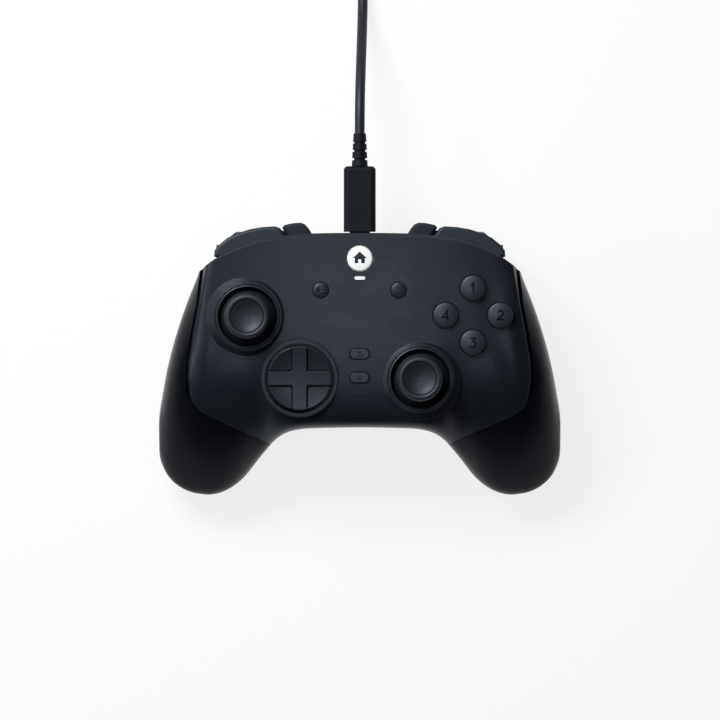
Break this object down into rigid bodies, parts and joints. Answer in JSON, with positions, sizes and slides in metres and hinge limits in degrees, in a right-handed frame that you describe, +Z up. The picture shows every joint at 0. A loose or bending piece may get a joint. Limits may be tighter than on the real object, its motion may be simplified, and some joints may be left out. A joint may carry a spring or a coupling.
{
  "type": "game controller",
  "caption": "Wired game controller with two thumb sticks, direction pad, action buttons, triggers, back buttons and a coiled lead.",
  "frame": {"origin": "middle of the footprint of controller without its lead, on the table it rests on", "axes": "+Z up out of the face, +Y away from the player along the lead, +X to the player's right"},
  "size_m": [0.1598, 0.3573, 0.0628],
  "materials": {
    "shell": "fine matte, moulded",
    "grip": "soft matte, moulded",
    "key": "satin, moulded",
    "stick_rubber": "matte",
    "ring": "low-friction, satin",
    "white_key": "white, satin",
    "light": "clear light guide",
    "board": "solder mask",
    "part_black": "moulded",
    "steel": "plain",
    "cord": "braided cover, matte",
    "plug": "matte, moulded"
  },
  "bodies": {
    "controller": {"front_shell": "shell", "rear_shell": "grip", "left_grip_panel": "grip", "right_grip_panel": "grip", "left_stick_ring": "ring", "right_stick_ring": "ring", "left_stick_module": "part_black", "right_stick_module": "part_black", "direction_pad_base": "part_black", "status_light": "light", "main_board": "board", "key_board": "board", "board_parts": "part_black", "usb_socket": "steel", "headset_jack": "part_black", "left_rumble_motor": "steel", "right_rumble_motor": "steel", "left_shoulder_frame": "part_black", "right_shoulder_frame": "part_black", "trigger_pins": "steel", "shell_screws": "steel", "lead_plug": "plug", "lead_cord": "cord", "lead_coil": "cord", "lead_tail": "cord", "far_plug": "plug", "coil_tie": "cord"},
    "left_stick_cradle": {"left_stick_cradle": "part_black"},
    "left_stick_cross": {"left_stick_cross": "steel"},
    "left_stick": {"left_stick_shaft": "part_black", "left_stick_cap": "stick_rubber"},
    "right_stick_cradle": {"right_stick_cradle": "part_black"},
    "right_stick_cross": {"right_stick_cross": "steel"},
    "right_stick": {"right_stick_shaft": "part_black", "right_stick_cap": "stick_rubber"},
    "direction_pad_cross": {"direction_pad_cross": "steel"},
    "direction_pad": {"direction_pad_cap": "key"},
    "north_button": {"north_button": "key"},
    "south_button": {"south_button": "key"},
    "west_button": {"west_button": "key"},
    "east_button": {"east_button": "key"},
    "view_button": {"view_button": "key"},
    "menu_button": {"menu_button": "key"},
    "home_button": {"home_button": "white_key"},
    "upper_pill_button": {"upper_pill_button": "key"},
    "lower_pill_button": {"lower_pill_button": "key"},
    "left_bumper": {"left_bumper": "key"},
    "left_claw_bumper": {"left_claw_bumper": "key"},
    "left_trigger": {"left_trigger": "key"},
    "left_trigger_stop": {"left_trigger_stop": "key"},
    "left_motor_weight": {"left_motor_weight": "steel"},
    "upper_left_back_button": {"upper_left_back_button": "key"},
    "lower_left_back_button": {"lower_left_back_button": "key"},
    "right_bumper": {"right_bumper": "key"},
    "right_claw_bumper": {"right_claw_bumper": "key"},
    "right_trigger": {"right_trigger": "key"},
    "right_trigger_stop": {"right_trigger_stop": "key"},
    "right_motor_weight": {"right_motor_weight": "steel"},
    "upper_right_back_button": {"upper_right_back_button": "key"},
    "lower_right_back_button": {"lower_right_back_button": "key"}
  },
  "joints": [
    {"name": "left_stick_click", "type": "slide", "parent": "controller", "child": "left_stick_cradle", "axis": [0, 0, -1], "range_m": [0, 0.0005], "stiffness_N_per_m": 3000, "springref_m": -0.0003},
    {"name": "left_stick_pitch", "type": "hinge", "parent": "left_stick_cradle", "child": "left_stick_cross", "pos_m": [-0.0444, 0.0167, 0.042], "axis": [1, 0, 0], "range_deg": [-16, 16], "stiffness_Nm_per_rad": 0.03},
    {"name": "left_stick_roll", "type": "hinge", "parent": "left_stick_cross", "child": "left_stick", "pos_m": [-0.0444, 0.0167, 0.042], "axis": [0, 1, 0], "range_deg": [-16, 16], "stiffness_Nm_per_rad": 0.03},
    {"name": "right_stick_click", "type": "slide", "parent": "controller", "child": "right_stick_cradle", "axis": [0, 0, -1], "range_m": [0, 0.0005], "stiffness_N_per_m": 3000, "springref_m": -0.0003},
    {"name": "right_stick_pitch", "type": "hinge", "parent": "right_stick_cradle", "child": "right_stick_cross", "pos_m": [0.0238, -0.0079, 0.042], "axis": [1, 0, 0], "range_deg": [-16, 16], "stiffness_Nm_per_rad": 0.03},
    {"name": "right_stick_roll", "type": "hinge", "parent": "right_stick_cross", "child": "right_stick", "pos_m": [0.0238, -0.0079, 0.042], "axis": [0, 1, 0], "range_deg": [-16, 16], "stiffness_Nm_per_rad": 0.03},
    {"name": "direction_pad_pitch", "type": "hinge", "parent": "controller", "child": "direction_pad_cross", "pos_m": [-0.0237, -0.00775, 0.0452], "axis": [1, 0, 0], "range_deg": [-5, 5], "stiffness_Nm_per_rad": 0.05},
    {"name": "direction_pad_roll", "type": "hinge", "parent": "direction_pad_cross", "child": "direction_pad", "pos_m": [-0.0237, -0.00775, 0.0452], "axis": [0, 1, 0], "range_deg": [-5, 5], "stiffness_Nm_per_rad": 0.05},
    {"name": "north_button_press", "type": "slide", "parent": "controller", "child": "north_button", "axis": [0, 0, -1], "range_m": [0, 0.0008], "stiffness_N_per_m": 700, "springref_m": -0.0003},
    {"name": "south_button_press", "type": "slide", "parent": "controller", "child": "south_button", "axis": [0, 0, -1], "range_m": [0, 0.0008], "stiffness_N_per_m": 700, "springref_m": -0.0003},
    {"name": "west_button_press", "type": "slide", "parent": "controller", "child": "west_button", "axis": [0, 0, -1], "range_m": [0, 0.0008], "stiffness_N_per_m": 700, "springref_m": -0.0003},
    {"name": "east_button_press", "type": "slide", "parent": "controller", "child": "east_button", "axis": [0, 0, -1], "range_m": [0, 0.0008], "stiffness_N_per_m": 700, "springref_m": -0.0003},
    {"name": "view_button_press", "type": "slide", "parent": "controller", "child": "view_button", "axis": [0, 0, -1], "range_m": [0, 0.0006], "stiffness_N_per_m": 1200, "springref_m": -0.0003},
    {"name": "menu_button_press", "type": "slide", "parent": "controller", "child": "menu_button", "axis": [0, 0, -1], "range_m": [0, 0.0006], "stiffness_N_per_m": 1200, "springref_m": -0.0003},
    {"name": "home_button_press", "type": "slide", "parent": "controller", "child": "home_button", "axis": [0, 0, -1], "range_m": [0, 0.0006], "stiffness_N_per_m": 1200, "springref_m": -0.0003},
    {"name": "upper_pill_button_press", "type": "slide", "parent": "controller", "child": "upper_pill_button", "axis": [0, 0, -1], "range_m": [0, 0.0006], "stiffness_N_per_m": 1200, "springref_m": -0.0003},
    {"name": "lower_pill_button_press", "type": "slide", "parent": "controller", "child": "lower_pill_button", "axis": [0, 0, -1], "range_m": [0, 0.0006], "stiffness_N_per_m": 1200, "springref_m": -0.0003},
    {"name": "left_bumper_press", "type": "hinge", "parent": "controller", "child": "left_bumper", "pos_m": [-0.033, 0.0402, 0.043], "axis": [0, 0, 1], "range_deg": [0, 2], "stiffness_Nm_per_rad": 0.5, "springref_deg": -1.72},
    {"name": "left_claw_bumper_press", "type": "slide", "parent": "controller", "child": "left_claw_bumper", "axis": [0, -1, 0], "range_m": [0, 0.0008], "stiffness_N_per_m": 900, "springref_m": -0.0003},
    {"name": "left_trigger_pull", "type": "hinge", "parent": "controller", "child": "left_trigger", "pos_m": [-0.0435, 0.0425, 0.0345], "axis": [-1, 0, 0], "range_deg": [0, 18], "stiffness_Nm_per_rad": 0.05, "springref_deg": -34.38},
    {"name": "left_trigger_stop_slide", "type": "slide", "parent": "controller", "child": "left_trigger_stop", "axis": [1, 0, 0], "range_m": [0, 0.005]},
    {"name": "left_motor_spin", "type": "hinge", "parent": "controller", "child": "left_motor_weight", "pos_m": [-0.0575, -0.0208, 0.0175], "axis": [0, 1, 0], "continuous": true},
    {"name": "upper_left_back_button_press", "type": "slide", "parent": "controller", "child": "upper_left_back_button", "axis": [0, 0, 1], "range_m": [0, 0.0008], "stiffness_N_per_m": 900, "springref_m": -0.0003},
    {"name": "lower_left_back_button_press", "type": "slide", "parent": "controller", "child": "lower_left_back_button", "axis": [0, 0, 1], "range_m": [0, 0.0008], "stiffness_N_per_m": 900, "springref_m": -0.0003},
    {"name": "right_bumper_press", "type": "hinge", "parent": "controller", "child": "right_bumper", "pos_m": [0.033, 0.0402, 0.043], "axis": [0, 0, -1], "range_deg": [0, 2], "stiffness_Nm_per_rad": 0.5, "springref_deg": -1.72},
    {"name": "right_claw_bumper_press", "type": "slide", "parent": "controller", "child": "right_claw_bumper", "axis": [0, -1, 0], "range_m": [0, 0.0008], "stiffness_N_per_m": 900, "springref_m": -0.0003},
    {"name": "right_trigger_pull", "type": "hinge", "parent": "controller", "child": "right_trigger", "pos_m": [0.0435, 0.0425, 0.0345], "axis": [-1, 0, 0], "range_deg": [0, 18], "stiffness_Nm_per_rad": 0.05, "springref_deg": -34.38},
    {"name": "right_trigger_stop_slide", "type": "slide", "parent": "controller", "child": "right_trigger_stop", "axis": [-1, 0, 0], "range_m": [0, 0.005]},
    {"name": "right_motor_spin", "type": "hinge", "parent": "controller", "child": "right_motor_weight", "pos_m": [0.0575, -0.0208, 0.0175], "axis": [0, 1, 0], "continuous": true},
    {"name": "upper_right_back_button_press", "type": "slide", "parent": "controller", "child": "upper_right_back_button", "axis": [0, 0, 1], "range_m": [0, 0.0008], "stiffness_N_per_m": 900, "springref_m": -0.0003},
    {"name": "lower_right_back_button_press", "type": "slide", "parent": "controller", "child": "lower_right_back_button", "axis": [0, 0, 1], "range_m": [0, 0.0008], "stiffness_N_per_m": 900, "springref_m": -0.0003}
  ]
}
